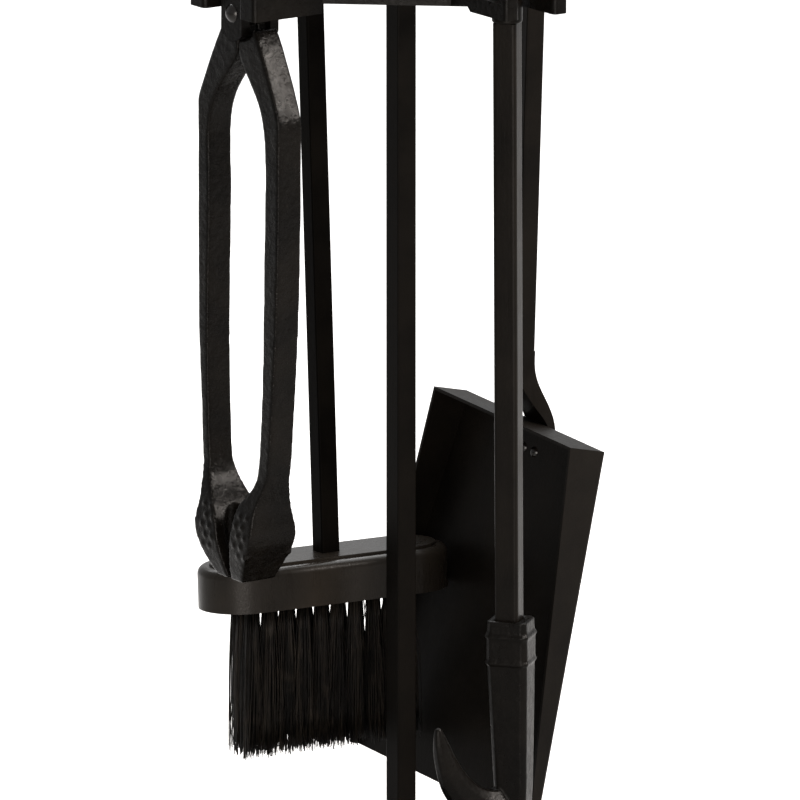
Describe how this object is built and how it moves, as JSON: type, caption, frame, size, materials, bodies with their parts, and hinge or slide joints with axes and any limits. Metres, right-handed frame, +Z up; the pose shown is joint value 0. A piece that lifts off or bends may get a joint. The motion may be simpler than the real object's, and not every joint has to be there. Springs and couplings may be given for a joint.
{
  "type": "fireplace tool set",
  "caption": "Fireplace tool stand: square base and pole with a forked hanger that carries tongs, a brush, a poker and a shovel.",
  "frame": {"origin": "on the floor under the centre of the square base", "axes": "+Z up along the pole; the shovel hangs on +X, the brush on +Y, the tongs on -X and the poker on -Y"},
  "size_m": [0.23, 0.23, 0.6435],
  "materials": {
    "cast_black": "satin black paint over a cast skin",
    "bar_black": "satin black paint on drawn bar",
    "turned_black": "satin black paint",
    "sheet_black": "satin black paint on folded sheet",
    "block_black": "semi-gloss black",
    "bristle": "stiff dark fibre",
    "steel": "zinc plated",
    "rubber": "matt"
  },
  "bodies": {
    "stand": {"base_plate": "cast_black", "base_feet": "rubber", "base_bolt": "steel", "base_washer": "steel", "pole_socket": "cast_black", "pole": "bar_black", "hanger_plate": "cast_black", "carry_collar": "turned_black", "carry_grip": "turned_black", "carry_knob": "turned_black"},
    "tongs": {"tongs_shank": "cast_black", "tongs_rivet": "turned_black", "tongs_collar": "turned_black", "tongs_grip": "turned_black", "tongs_knob": "turned_black"},
    "tongs_arm_far": {"tongs_arm_far": "cast_black"},
    "tongs_arm_near": {"tongs_arm_near": "cast_black"},
    "brush": {"brush_rod": "bar_black", "brush_block": "block_black", "brush_bristles": "bristle", "brush_collar": "turned_black", "brush_grip": "turned_black", "brush_knob": "turned_black"},
    "poker": {"poker_rod": "bar_black", "poker_head": "cast_black", "poker_collar": "turned_black", "poker_grip": "turned_black", "poker_knob": "turned_black"},
    "shovel": {"shovel_rod": "bar_black", "shovel_pan": "sheet_black", "shovel_rivets": "turned_black", "shovel_collar": "turned_black", "shovel_grip": "turned_black", "shovel_knob": "turned_black"}
  },
  "joints": [
    {"name": "tongs_lift", "type": "slide", "parent": "stand", "child": "tongs", "axis": [0, 0, 1], "range_m": [0, 0.0045]},
    {"name": "tongs_far_open", "type": "hinge", "parent": "tongs", "child": "tongs_arm_far", "pos_m": [-0.09, 0.00009, 0.4945], "axis": [1, 0, 0], "range_deg": [0, 12]},
    {"name": "tongs_near_open", "type": "hinge", "parent": "tongs", "child": "tongs_arm_near", "pos_m": [-0.09, 0.00009, 0.4945], "axis": [-1, 0, 0], "range_deg": [0, 12]},
    {"name": "brush_lift", "type": "slide", "parent": "stand", "child": "brush", "axis": [0, 0, 1], "range_m": [0, 0.006]},
    {"name": "poker_lift", "type": "slide", "parent": "stand", "child": "poker", "axis": [0, 0, 1], "range_m": [0, 0.01]},
    {"name": "shovel_lift", "type": "slide", "parent": "stand", "child": "shovel", "axis": [0, 0, 1], "range_m": [0, 0.006]}
  ]
}
